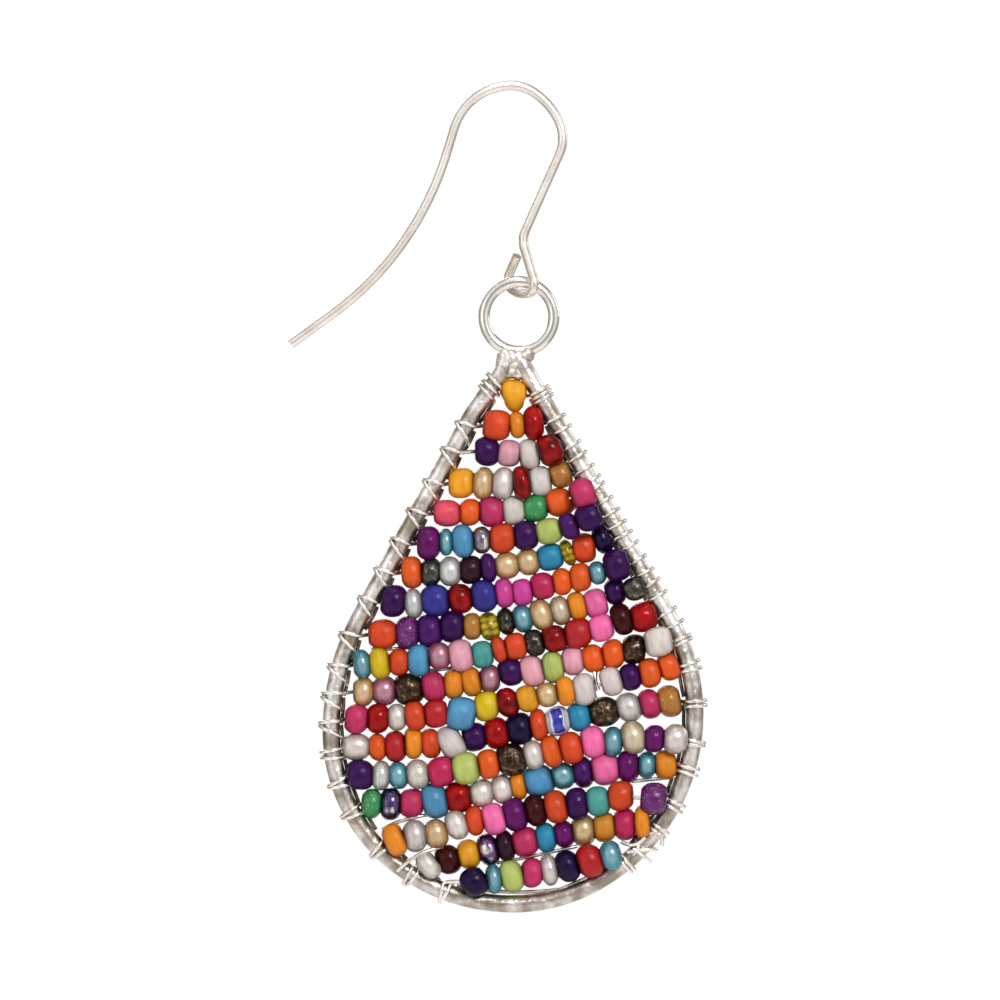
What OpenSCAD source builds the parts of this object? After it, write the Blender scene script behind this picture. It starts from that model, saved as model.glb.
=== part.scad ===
// Beaded drop earring, hanging as it is worn.
// A bent ear wire ends in an open loop. A ring hangs on the loop and is soldered to a teardrop
// of round wire, which holds eighteen strung rows of small beads.
// The origin is under the top of the ear wire, where it sits in the ear. X goes to the right
// across the teardrop, Y to the back and Z up. All sizes are in millimetres.

/* [Ear wire] */
// Diameter of the ear wire
hook_wire_d = 0.8; // [0.7:0.05:0.85]
// Turn of the bottom loop out of the plane of the hook, in degrees
loop_turn = 55; // [52:1:60]
// Radius of the arch on the side of the tail
arch_back_r = 5; // [4.6:0.1:5.4]
// Radius of the long sweep of the tail
tail_sweep_r = 26; // [22:1:30]
// Straight end of the tail
tail_run = 4.35; // [2:0.05:8]

/* [Ring] */
// Diameter of the ring's wire
ring_wire_d = 0.95; // [0.8:0.05:1]
// Radius of the ring's centre line
ring_r = 2.95; // [2.9:0.05:3.1]
// Depth of the swing axis under the top of the ear wire, at the ring's own top
swing_drop = 16.15; // [16.1:0.01:16.2]
// Distance from the plane of the hook back to the plane of the teardrop
drop_back = 0.2; // [0.1:0.05:0.3]

/* [Teardrop] */
// Diameter of the teardrop's wire
frame_wire_d = 1.48; // [1.2:0.02:1.6]
// Thickness of the solder between the two legs
solder_t = 1; // [0.7:0.05:1.2]

/* [Bead rows] */
// Diameter of a strung row
row_d = 2.1; // [1.6:0.05:2.15]
// Diameter at the rounded ends of a row
row_end_d = 1.1; // [0.8:0.05:1.5]
// Length of the rounding at each end of a row
row_end_l = 0.45; // [0.3:0.05:0.6]

/* [Hidden] */
ROWS = 18;
$fn = 32;

// Columns of a wire's table, a line for each stretch: a turn to the left in degrees and its
// radius, or a turn of 0 and the length of a straight run
TURN = 0;
SIZE = 1;
// Stretches lap by this much, and every second one is this much thinner, so that they fuse
wire_lap = 0.04;
wire_step = 0.02;

// From the top of the arch back and down to the end of the tail
TAIL = [
    [73, arch_back_r],
    [0, 2.4],
    [-37, tail_sweep_r],
    [0, tail_run]
];
// From the top of the arch forwards and down the shank to the neck over the loop
SHANK = [
    [0, wire_lap],
    [-34, 3.5],
    [-30, 6.1],
    [-50, 3.3],
    [0, 7.1],
    [24, 1.5],
    [0, 0.3]
];
// From the neck round the open loop to its cut end
LOOP = [
    [27, 1.5],
    [0, 2.9],
    [-107, 0.75],
    [-35, 4.4],
    [-103, 0.95],
    [0, 1.7]
];
// From the top of the left leg down, round the foot and up to the top of the right leg
TEARDROP = [
    [0, 0.8],
    [-27, 2],
    [0, 3.7],
    [6, 4],
    [0, 19.43],
    [29, 20.2],
    [50, 14.2],
    [40, 15.9],
    [29, 14.6],
    [61, 16.2],
    [30, 16.1],
    [0, 25.85]
];

// Centre of the ring, and where the left leg of the teardrop starts, with its slant there
ring_x = 0.67;
ring_z = -swing_drop - ring_r;
leg_top = [-0.44, -22.29];
leg_slant = 8;

// The solder fills the crotch of the two legs under the ring
solder_top_z = ring_z - ring_r - 0.2;
solder_foot_z = solder_top_z - 1.95;
solder_top_w = 1.2;
solder_foot_w = 2.6;
solder_x = 0.05;
solder_bead_d = 1.7;
solder_bead_z = solder_top_z - 0.35;

// Columns of the row table: the row's two ends along X, then its height at the left end,
// at one third, at two thirds and at the right end
LEFT_X = 0;
RIGHT_X = 1;
HEIGHTS = [2, 3, 4, 5];
ROW_TABLE = [
    [-0.7, 1.1, -25.8, -25.8, -25.8, -25.8],
    [-2.2, 2.5, -28.3, -28.3, -28.2, -28.1],
    [-3.0, 3.8, -30.6, -30.6, -30.6, -30.3],
    [-5.1, 4.9, -33.1, -33.1, -32.9, -32.4],
    [-6.4, 6.0, -35.8, -35.7, -35.3, -34.3],
    [-7.8, 7.3, -38.3, -38.1, -37.5, -36.2],
    [-9.1, 8.4, -40.7, -40.5, -39.7, -38.4],
    [-10.5, 9.5, -43.2, -42.9, -41.9, -40.4],
    [-11.9, 10.7, -45.8, -45.4, -44.2, -42.3],
    [-13.0, 11.9, -48.3, -47.7, -46.4, -44.3],
    [-13.4, 13.1, -50.7, -50.0, -48.6, -46.5],
    [-13.9, 13.9, -53.1, -52.4, -50.8, -48.8],
    [-14.1, 14.3, -55.4, -54.9, -53.1, -51.2],
    [-13.6, 14.4, -57.7, -57.2, -55.5, -54.2],
    [-12.5, 13.7, -60.2, -59.5, -57.8, -56.7],
    [-10.3, 12.8, -63.0, -61.8, -60.3, -59.3],
    [-7.2, 11.2, -65.2, -64.1, -62.7, -61.7],
    [-3.1, 7.9, -66.6, -66.3, -65.5, -64.4]
];
ROW_SIDES = 10;

// Colours as the photographed piece shows them
SILVER = [0.78, 0.76, 0.74];
ROW_COLOURS = ["orange", "orangered", "plum", "khaki", "hotpink", "indigo"];

// Height of a row at u, from 0 at its left end to 1 at its right end: the cubic through the
// four heights of its line in the table
function row_height(h, u) =
    let (t = 3 * u)
    h[0] * (1 - t) * (2 - t) * (3 - t) / 6
    + h[1] * t * (2 - t) * (3 - t) / 2
    + h[2] * t * (t - 1) * (3 - t) / 2
    + h[3] * t * (t - 1) * (t - 2) / 6;

// Point of a row's centre line at u
function row_point(row, u) = [
    row[LEFT_X] + (row[RIGHT_X] - row[LEFT_X]) * u,
    drop_back,
    row_height([for (c = HEIGHTS) row[c]], u)
];

// Slope of a row at u, as an angle over the horizontal
function row_slope(row, u) =
    let (a = row_point(row, u - 0.01), b = row_point(row, u + 0.01))
    atan2(b.z - a.z, b.x - a.x);

// One ring of a row's tube: its centre at u, its radius r, square to the row
function row_ring(row, u, r) =
    let (c = row_point(row, u), s = row_slope(row, u))
    [for (k = [0 : ROW_SIDES - 1])
        let (a = 360 * (k + 0.5) / ROW_SIDES)
        c + r * [-sin(s) * sin(a), cos(a), cos(s) * sin(a)]];

// Stations of a row's rings along u, and their radii: narrow ends, and full between them
function row_stations(row) =
    let (l = row[RIGHT_X] - row[LEFT_X], e = row_end_l / l, n = ceil(l / 8))
    concat(
        [[0, row_end_d / 2]],
        [for (k = [0 : n]) [e + (1 - 2 * e) * k / n, row_d / 2]],
        [[1, row_end_d / 2]]
    );

// A strung row, as one closed tube along its route
module bead_row(index) {
    row = ROW_TABLE[index];
    stations = row_stations(row);
    rings = [for (s = stations) row_ring(row, s[0], s[1])];
    n = ROW_SIDES;
    last = (len(rings) - 1) * n;
    walls = [for (i = [0 : len(rings) - 2], k = [0 : n - 1])
        [i * n + k, i * n + (k + 1) % n, (i + 1) * n + (k + 1) % n, (i + 1) * n + k]];
    caps = [
        [for (k = [0 : n - 1]) n - 1 - k],
        [for (k = [0 : n - 1]) last + k]
    ];
    color(ROW_COLOURS[index % len(ROW_COLOURS)])
        polyhedron(points = [for (r = rings, p = r) p], faces = concat(walls, caps));
}

// One stretch of a wire of diameter d that heads along +Y: a straight run, or a bend that
// turns to the left for a positive turn
module stretch(turn, size, d) {
    if (turn == 0)
        rotate([-90, 0, 0])
            cylinder(d = d, h = size + wire_lap);
    else
        rotate([0, turn < 0 ? 180 : 0, 0])
            translate([-size, 0, 0])
                rotate_extrude(angle = abs(turn) + wire_lap / size * 180 / PI)
                    translate([size, 0])
                        circle(d = d);
}

// Moves its children to the end of a stretch, in the heading that it leaves in
module after(turn, size) {
    if (turn == 0)
        translate([0, size, 0])
            children();
    else
        translate([-sign(turn) * size, 0, 0])
            rotate([0, 0, turn])
                translate([sign(turn) * size, 0, 0])
                    children();
}

// A wire bent in the XY plane by its table, from the origin along +Y. What is given as its
// child starts where the wire ends. A wire that goes on from another takes first as 1 where
// its own first stretch is to be a thinner one.
module bent_wire(table, d, first = 0, i = 0) {
    if (i < len(table)) {
        turn = table[i][TURN];
        size = table[i][SIZE];
        stretch(turn, size, d - (i + first) % 2 * wire_step);
        after(turn, size)
            bent_wire(table, d, first, i + 1)
                children();
    } else {
        children();
    }
}

// The ear wire: its arch, its tail and its shank with the open loop, all one wire
module ear_hook() {
    color(SILVER)
        translate([0, 0, hook_wire_d / 2])
            rotate([90, 0, 0]) {
                rotate([0, 0, 90])
                    bent_wire(TAIL, hook_wire_d);
                translate([-wire_lap, 0, 0])
                    rotate([0, 0, -90])
                        bent_wire(SHANK, hook_wire_d, 1)
                            rotate([0, loop_turn, 0])
                                bent_wire(LOOP, hook_wire_d);
            }
}

// The ring that hangs on the loop
module hanging_ring() {
    translate([ring_x, 0, ring_z])
        rotate([90, 0, 0])
            rotate_extrude()
                translate([ring_r, 0])
                    circle(d = ring_wire_d);
}

// The teardrop of round wire, bent from the top of one leg round to the other
module teardrop() {
    translate([leg_top[0], 0, leg_top[1]])
        rotate([90, 0, 0])
            rotate([0, 0, 180 - leg_slant])
                bent_wire(TEARDROP, frame_wire_d);
}

// Solder run into the crotch of the legs, with a lump under the ring
module solder() {
    rotate([90, 0, 0])
        linear_extrude(height = solder_t, center = true)
            polygon([
                [solder_x - solder_top_w / 2, solder_top_z],
                [solder_x - solder_foot_w / 2, solder_foot_z],
                [solder_x + solder_foot_w / 2, solder_foot_z],
                [solder_x + solder_top_w / 2, solder_top_z]
            ]);
    translate([solder_x, 0, solder_bead_z])
        sphere(d = solder_bead_d);
}

// Ring, solder and teardrop, soldered into one solid
module drop_frame() {
    color(SILVER)
        translate([0, drop_back, 0])
            union() {
                hanging_ring();
                teardrop();
                solder();
            }
}

ear_hook();
drop_frame();
for (i = [0 : ROWS - 1])
    bead_row(i);
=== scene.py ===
"""Beaded drop earring: the finish of its silver wires, and its glass beads and binding wire."""

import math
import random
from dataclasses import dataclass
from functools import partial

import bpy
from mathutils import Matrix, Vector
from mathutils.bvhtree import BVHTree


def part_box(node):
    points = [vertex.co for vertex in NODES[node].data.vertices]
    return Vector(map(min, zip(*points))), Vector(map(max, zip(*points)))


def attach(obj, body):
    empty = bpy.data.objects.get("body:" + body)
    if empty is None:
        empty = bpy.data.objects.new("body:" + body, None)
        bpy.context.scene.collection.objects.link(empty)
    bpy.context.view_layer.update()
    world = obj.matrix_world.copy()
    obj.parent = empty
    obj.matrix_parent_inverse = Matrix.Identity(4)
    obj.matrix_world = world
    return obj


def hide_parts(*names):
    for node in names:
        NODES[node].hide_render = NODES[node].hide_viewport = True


bl_info = {
    "name": "Beaded Drop Earring",
    "version": (1, 0, 0),
    "blender": (4, 5, 0),
    "location": "View3D > Sidebar > Earring",
    "description": "Strings the glass beads, laces them to the teardrop and sets up the studio",
    "category": "Add Mesh",
}

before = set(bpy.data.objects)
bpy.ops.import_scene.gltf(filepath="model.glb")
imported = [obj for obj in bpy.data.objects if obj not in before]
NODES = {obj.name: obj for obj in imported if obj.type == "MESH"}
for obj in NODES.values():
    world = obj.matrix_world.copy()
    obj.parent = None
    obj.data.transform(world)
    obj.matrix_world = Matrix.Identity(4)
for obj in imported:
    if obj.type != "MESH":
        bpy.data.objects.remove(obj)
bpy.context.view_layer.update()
MM = 0.001
ACROSS = Vector((1, 0, 0))
FRONT = Vector((0, -1, 0))

# The plane of the teardrop, and the middle of its wide part
DROP_LOW, DROP_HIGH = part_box("drop_frame")
DROP_Y = (DROP_LOW.y + DROP_HIGH.y) / 2
DROP_MIDDLE = Vector((0, DROP_Y, -55 * MM))
# Half the teardrop's wire
WIRE_RADIUS = 0.74 * MM

# The routes of the rows, from the top down, in millimetres: the ends along X, and the height at
# the left end, at one third, at two thirds and at the right end
ROUTES = (
    (-0.8, 1.3, (-25.8, -25.8, -25.8, -25.8)),
    (-2.3, 2.7, (-28.2, -28.3, -28.2, -28.0)),
    (-3.0, 4.2, (-30.5, -30.6, -30.8, -30.3)),
    (-5.2, 5.0, (-33.2, -33.2, -33.1, -32.4)),
    (-6.5, 6.9, (-35.8, -35.6, -35.2, -33.6)),
    (-7.9, 7.5, (-38.3, -38.0, -37.4, -35.9)),
    (-9.2, 8.4, (-40.7, -40.5, -39.6, -37.9)),
    (-10.9, 9.9, (-43.1, -42.9, -41.8, -40.0)),
    (-12.0, 11.2, (-46.0, -45.4, -44.1, -41.8)),
    (-13.3, 12.2, (-48.5, -47.8, -46.3, -44.2)),
    (-13.3, 13.5, (-50.8, -50.1, -48.5, -46.5)),
    (-14.0, 14.1, (-53.1, -52.4, -50.7, -48.7)),
    (-14.2, 14.3, (-55.4, -54.9, -53.1, -51.5)),
    (-13.8, 14.8, (-57.7, -57.3, -55.5, -54.8)),
    (-12.6, 13.9, (-60.2, -59.6, -57.8, -57.0)),
    (-10.6, 13.1, (-63.4, -61.8, -60.3, -59.8)),
    (-7.7, 11.7, (-65.6, -64.0, -62.7, -61.7)),
    (-4.1, 9.2, (-66.9, -66.3, -65.5, -64.3)),
)

# The stringing chart, a line for each row from left to right: the kind of bead, its width and
# height in tenths of a millimetre, how far its top leans right in degrees (/) and how many tenths
# it sits above or below its row (^), where it does either
CHART = (
    "amber_drop 21x25",
    "tangerine 22x24, marigold 12x21, ruby 16x27",
    "aubergine 19x23, pink 18x21, milk 16x25/-8, garnet 19x25^+2",
    "amber 20x23, cream 16x25, pearl 17x25, garnet 14x26, milk 17x23, topaz 17x21^+2",
    "coral 21x21, orange 16x21, rose 19x24, milk 17x23, emerald 19x22, orange 21x23, "
    "rose 19x24",
    "plum 18x26, aqua 11x21, sky 17x26, iris_silver 14x21, tangerine 20x23, aubergine 19x23, "
    "lime 20x20, purple 14x21, aubergine 20x21^+2",
    "orange 16x25, gunmetal 15x22, silver_pearl 17x23, eggplant 17x22, purple 12x23, "
    "cream 19x21, cream 17x21, teal 20x21, gold_lined 10x21, tangerine 18x23/12, navy 14x23^+2",
    "aubergine 19x25, silver_pearl 14x23^-2, royal 22x25, garnet 19x23, royal 20x25, "
    "magenta 14x23, magenta 16x21^-2, crimson 18x21, orange 15x21, orange 16x22, aqua 13x18, "
    "aubergine 20x25^+2",
    "tangerine 23x23, purple_fleck 18x26, purple 19x26, aubergine 19x25^+2, topaz 14x21, "
    "gold_lined 15x22^-2, black 13x21, aqua 15x22, cream 17x25, ivory 15x23, "
    "marigold 14x23, hot_pink 18x23^-2, aubergine 16x21^+3, gunmetal 17x18",
    "aqua 14x23, yellow 16x25, tangerine 16x21, sky 17x25, mauve 17x21^+2, pink 19x25, "
    "jade 17x21^-2, tangerine 11x21, tangerine 17x21, black 15x21, garnet 19x21, red 21x23, "
    "hot_pink 19x21, maroon 16x25^+3, ruby 21x23",
    "cream 16x23, mauve 19x23, bronze 22x25, rose 19x25, marigold 15x23, marigold 15x23, "
    "mauve 16x22, aubergine 19x22^+3, pink 18x25, lime 17x25, pink 17x23^+2, orange 17x22, "
    "orange 17x23, bronze 19x23/15, milk 22x23^+2",
    "rose 19x23, ruby 17x23, pearl 15x21, tangerine 16x23, red 19x22, sky 24x26/20^-3, "
    "yellow 19x23, garnet 17x23, amber 17x21, cream 17x19, marigold 14x23, milk 18x25^-2, "
    "gap 6, milk 17x23, aubergine 16x21, orange 17x23, orange 16x22^+2",
    "pearl 22x21, orange 14x21, red 16x24, marigold 14x25^+2, tangerine 15x23, "
    "milk 20x28/-18^-2, aubergine 19x22, ruby 19x25, navy 20x25, tangerine 13x25, "
    "cobalt_core 19x23, teal 18x23, bronze 24x23, silver_pearl 19x23, rose 16x23, topaz 18x25",
    "aubergine 21x23, silver_pearl 14x23, aqua 15x21, pearl 18x23, crimson 21x23/-10, "
    "lime 21x25, orange 17x23, bronze 22x25, pearl 16x23, orange 15x25, tangerine 18x25, "
    "hot_pink 19x25^+2, aqua 15x23, ivory 19x26^+2, plum 16x21, pearl 19x23",
    "emerald 16x23, iris_blue 16x25, rose 19x22, sky 20x28, ruby 20x25, pearl 19x22, "
    "pearl 16x23, marigold 12x23, sky 23x25, aqua 18x21, purple 16x25, hot_pink 22x26, "
    "plum 17x26, aqua 14x21, marigold 17x23",
    "marigold 16x26/-18, lilac_pearl 18x25, cream 18x23^-2, pearl 17x23^+2, tangerine 14x23^+2, "
    "hot_pink 18x25, plum 18x26, maroon 17x25, tangerine 18x26, aubergine 17x25, jade 18x23, "
    "tangerine 20x23^+3, gap 7, purple_fleck 21x25",
    "pearl 15x23/-25, maroon 18x23, amber 17x23, iris_purple 16x25, eggplant 13x25, "
    "rose 20x23, teal 15x23, plum 15x21, cream 18x25, ochre 17x23, crimson 17x25, "
    "marigold 12x26",
    "navy 20x23/-25, aqua 12x23, lime 18x25, rose 16x23, lilac_pearl 13x25, navy 18x25, "
    "red 20x26, aqua 16x23",
)

# Each kind of bead: its glass, and its colour as sRGB hex
BEADS = {
    "amber": ("opaque", "E6A11A"),
    "amber_drop": ("opaque", "E8A61A"),
    "marigold": ("opaque", "E68B17"),
    "orange": ("opaque", "E85D16"),
    "tangerine": ("opaque", "D24416"),
    "red": ("opaque", "B2161D"),
    "coral": ("opaque", "DE4A62"),
    "rose": ("opaque", "BC2A60"),
    "crimson": ("opaque", "BC1C56"),
    "hot_pink": ("opaque", "F06CAE"),
    "magenta": ("opaque", "C43C96"),
    "pink": ("opaque", "E2A4B6"),
    "milk": ("opaque", "D6D0CD"),
    "sky": ("opaque", "4E94C0"),
    "teal": ("opaque", "2288B0"),
    "jade": ("opaque", "48A49C"),
    "lime": ("opaque", "B2C46A"),
    "yellow": ("opaque", "D9BC18"),
    "royal": ("deep", "36348E"),
    "purple": ("deep", "471462"),
    "plum": ("deep", "610E60"),
    "aubergine": ("deep", "370B50"),
    "navy": ("deep", "190838"),
    "eggplant": ("deep", "2F1024"),
    "maroon": ("deep", "3D0707"),
    "ochre": ("opaque", "D08E24"),
    "pearl": ("pearl", "DAD3CE"),
    "silver_pearl": ("pearl", "C6C8C8"),
    "lilac_pearl": ("pearl", "C9BFC0"),
    "cream": ("pearl", "CEAC76"),
    "ivory": ("pearl", "C8BA9C"),
    "aqua": ("pearl", "4E98AC"),
    "mauve": ("pearl", "A8647E"),
    "ruby": ("clear", "920609"),
    "garnet": ("clear", "660408"),
    "topaz": ("flecked", "A26B22"),
    "emerald": ("flecked", "2E864C"),
    "purple_fleck": ("flecked", "5C0C62"),
    "bronze": ("metallic", "3C2A1A"),
    "gunmetal": ("metallic", "484A45"),
    "black": ("metallic", "383630"),
    "gold_lined": ("lined", "9C8410"),
    "cobalt_core": ("cored", "1C1C78"),
    "iris_silver": ("iris", "807A7C"),
    "iris_blue": ("iris", "16144A"),
    "iris_purple": ("iris", "430A58"),
}


def linear(sixteen):
    """A colour from sRGB hex to Blender's linear values."""
    parts = [int(sixteen[i : i + 2], 16) / 255 for i in (0, 2, 4)]
    return [p / 12.92 if p <= 0.04045 else ((p + 0.055) / 1.055) ** 2.4 for p in parts]


class EarringSizes(bpy.types.PropertyGroup):
    """Sizes of what is strung and wound on the teardrop"""

    hole: bpy.props.FloatProperty(
        name="Bead hole",
        description="Diameter of the hole through a bead",
        default=0.8 * MM,
        unit="LENGTH",
        precision=5,
    )
    rim: bpy.props.FloatProperty(
        name="Bead rim",
        description="Radius of the fire-rounded rim of a bead",
        default=0.6 * MM,
        unit="LENGTH",
        precision=5,
    )
    strand: bpy.props.FloatProperty(
        name="Binding wire",
        description="Diameter of the wire that laces the beads to the teardrop",
        default=0.33 * MM,
        unit="LENGTH",
        precision=5,
    )
    stand_off: bpy.props.FloatProperty(
        name="Stand-off",
        description="How far a wrap stands off the outer side of the teardrop's wire",
        default=0.04 * MM,
        unit="LENGTH",
        precision=5,
    )


class GlassColours(bpy.types.PropertyGroup):
    """Colour of each kind of bead in the chart"""

    __annotations__ = {
        kind: bpy.props.FloatVectorProperty(
            name=kind.replace("_", " ").capitalize(),
            description=f"Glass colour of the {kind.replace('_', ' ')} beads",
            subtype="COLOR",
            size=3,
            min=0,
            max=1,
            default=linear(colour),
        )
        for kind, (_, colour) in BEADS.items()
    }


class StudioSettings(bpy.types.PropertyGroup):
    """Camera and background"""

    distance: bpy.props.FloatProperty(
        name="Camera distance",
        description="From the camera to the teardrop",
        default=0.352,
        unit="LENGTH",
    )
    lens: bpy.props.FloatProperty(
        name="Lens",
        description="Focal length in millimetres",
        default=150,
    )
    paper: bpy.props.FloatVectorProperty(
        name="Paper",
        description="Colour of the floor and of the background",
        subtype="COLOR",
        size=3,
        default=linear("FFFFFF"),
    )


def millimetres(x, z, y=DROP_Y / MM):
    """A point of the picture plane, given in millimetres."""
    return Vector((x, y, z)) * MM


def select(objects):
    """Selects these objects and no others, and makes the first one active."""
    bpy.ops.object.select_all(action="DESELECT")
    for obj in objects:
        obj.select_set(True)
    bpy.context.view_layer.objects.active = objects[0]


def just_added(name):
    """The object that an operator has just added, under its own name. It alone is selected."""
    obj = bpy.context.active_object
    obj.name = obj.data.name = name
    return obj


def apply_modifier(obj, kind, **settings):
    """Adds a modifier with its settings and applies it."""
    select([obj])
    modifier = obj.modifiers.new(kind.lower(), kind)
    for key, value in settings.items():
        setattr(modifier, key, value)
    bpy.ops.object.modifier_apply(modifier=modifier.name)


def select_parts(obj, parts, wanted):
    """In edit mode, selects the verts, edges or faces for which wanted(part) is true."""
    mode = {"vertices": "VERT", "edges": "EDGE", "polygons": "FACE"}[parts]
    bpy.ops.mesh.select_mode(type=mode)
    bpy.ops.mesh.select_all(action="DESELECT")
    bpy.ops.object.mode_set(mode="OBJECT")
    for part in getattr(obj.data, parts):
        part.select = wanted(part)
    bpy.ops.object.mode_set(mode="EDIT")


def add_node(tree, kind, inputs=None, stops=(), **settings):
    """Adds a node with its settings. Each of its inputs is given a value, a colour in hex, or
    the output that is linked to it; a node stands for its first output in use. A colour ramp
    takes its stops from left to right, each as its place and its colour in hex. Every Mix here
    mixes colours."""
    node = tree.nodes.new("ShaderNode" + kind)
    if kind == "Mix":
        node.data_type = "RGBA"
    for key, value in settings.items():
        setattr(node, key, value)
    for _ in stops[2:]:
        node.color_ramp.elements.new(0.5)
    for i, (spot, tint) in enumerate(stops):
        node.color_ramp.elements[i].position = spot
        node.color_ramp.elements[i].color = (*linear(tint), 1)
    for key, value in (inputs or {}).items():
        named = [socket for socket in node.inputs if socket.enabled and socket.name == key]
        socket = node.inputs[key] if isinstance(key, int) else named[0]
        if isinstance(value, bpy.types.Node):
            value = next(output for output in value.outputs if output.enabled)
        if isinstance(value, bpy.types.NodeSocket):
            tree.links.new(value, socket)
        elif isinstance(value, str):
            socket.default_value = (*linear(value), 1)
        else:
            socket.default_value = value
    return node


def new_material(name):
    """An empty material, what adds nodes to it, and the place on the object for its patterns."""
    material = bpy.data.materials.new(name)
    material.use_nodes = True
    material.node_tree.nodes.clear()
    add = partial(add_node, material.node_tree)
    return material, add, add("TexCoord").outputs["Object"]


def close_material(material, inputs):
    """Adds the shader with its inputs, and the output."""
    add = partial(add_node, material.node_tree)
    add("OutputMaterial", {"Surface": add("BsdfPrincipled", inputs)})
    return material


# How much of the dents and the hollows shows where the wire is as smooth as drawn
AS_DRAWN = 0.15
# The heights between which the wire darkens in patches, down to the foot of the teardrop
DARKER_FROM_TO = (-42 * MM, -66 * MM)
# Hollows are wider than dents, and scratches coarser than real ones so that they show
DENT_TO_HOLLOW = 0.6
SCRATCH = 0.09 * MM
# Pits in the glass, flecks of metal dust in it, and crumples of a metal coat fired on it
PIT = 0.3 * MM
FLECK = 0.16 * MM
CRUMPLE = 0.42 * MM
# A bead's own number times this picks its patches, so that no two beads share them
APART = 40.0


def silver(name, bright, dark, roughness, dent, drawn_above=None, foot_and_shade_tint=None):
    """Silver wire: a bright metal, a little darker in its hollows, with fine scratches and soft
    dents, given as their width and depth in millimetres. Above a height in millimetres it may
    stay as smooth as drawn. Under that height it may darken in patches toward the foot, and take
    painted shade on the side that faces the beads."""
    material, add, place = new_material(name)
    width, depth = dent
    dents = add("TexNoise", {"Vector": place, "Scale": 1 / (width * MM)})
    clouds = add(
        "TexNoise", {"Vector": place, "Scale": DENT_TO_HOLLOW / (width * MM), "Detail": 4.0}
    )
    scratches = add(
        "TexNoise", {"Vector": place, "Scale": 1 / SCRATCH, "Detail": 3.0, "Roughness": 0.7}
    )
    hollow = add("MapRange", {"Value": clouds, "From Min": 0.42, "From Max": 0.64})
    height = add("SeparateXYZ", {"Vector": place}).outputs["Z"]
    if drawn_above is not None:
        worked = add(
            "MapRange",
            {
                "Value": height,
                "From Min": (drawn_above - 0.8) * MM,
                "From Max": drawn_above * MM,
                "To Min": 1.0,
                "To Max": AS_DRAWN,
            },
        )
        hollow = add("Math", {0: hollow, 1: worked}, operation="MULTIPLY")
    tint = add("Mix", {"Factor": hollow, "A": bright, "B": dark})
    if foot_and_shade_tint is not None:
        start, foot = DARKER_FROM_TO
        low = add("MapRange", {"Value": height, "From Min": start, "From Max": foot, "To Max": 0.6})
        patchy = add("MapRange", {"Value": clouds, "From Min": 0.2, "From Max": 0.5})
        darker_low = add("Math", {0: low, 1: patchy}, operation="MULTIPLY")
        tint = add("Mix", {"Factor": darker_low, "A": tint, "B": foot_and_shade_tint})
        # Painted shade on the side that faces the beads, where they and the wraps shade the wire.
        # The teardrop is taller than wide, so the way in counts more across than upward.
        way_in = add("VectorMath", {0: DROP_MIDDLE, 1: place}, operation="SUBTRACT")
        squeezed = add("VectorMath", {0: way_in, 1: (2.5, 0.0, 1.0)}, operation="MULTIPLY")
        inward = add("VectorMath", {0: squeezed}, operation="NORMALIZE")
        normal = place.node.outputs["Normal"]
        facing_in = add("VectorMath", {0: inward, 1: normal}, operation="DOT_PRODUCT")
        inward_shade_amount = add("MapRange", {"Value": facing_in, "From Max": 0.8, "To Max": 0.52})
        shade_toward_beads = add("Math", {0: inward_shade_amount, 1: worked}, operation="MULTIPLY")
        tint = add("Mix", {"Factor": shade_toward_beads, "A": tint, "B": foot_and_shade_tint})
    haze = add(
        "MapRange",
        {
            "Value": scratches,
            "From Min": 0.3,
            "From Max": 0.75,
            "To Min": roughness - 0.05,
            "To Max": roughness + 0.1,
        },
    )
    relief = add("Math", {0: scratches, 1: 0.04, 2: dents}, operation="MULTIPLY_ADD")
    if drawn_above is not None:
        relief = add("Math", {0: relief, 1: worked}, operation="MULTIPLY")
        eased = add("MapRange", {"Value": worked, "From Min": AS_DRAWN, "To Min": 0.55})
        haze = add("Math", {0: haze, 1: eased}, operation="MULTIPLY")
    dented = add("Bump", {"Height": relief, "Distance": depth * MM})
    return close_material(
        material, {"Base Color": tint, "Metallic": 1.0, "Roughness": haze, "Normal": dented}
    )


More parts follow.
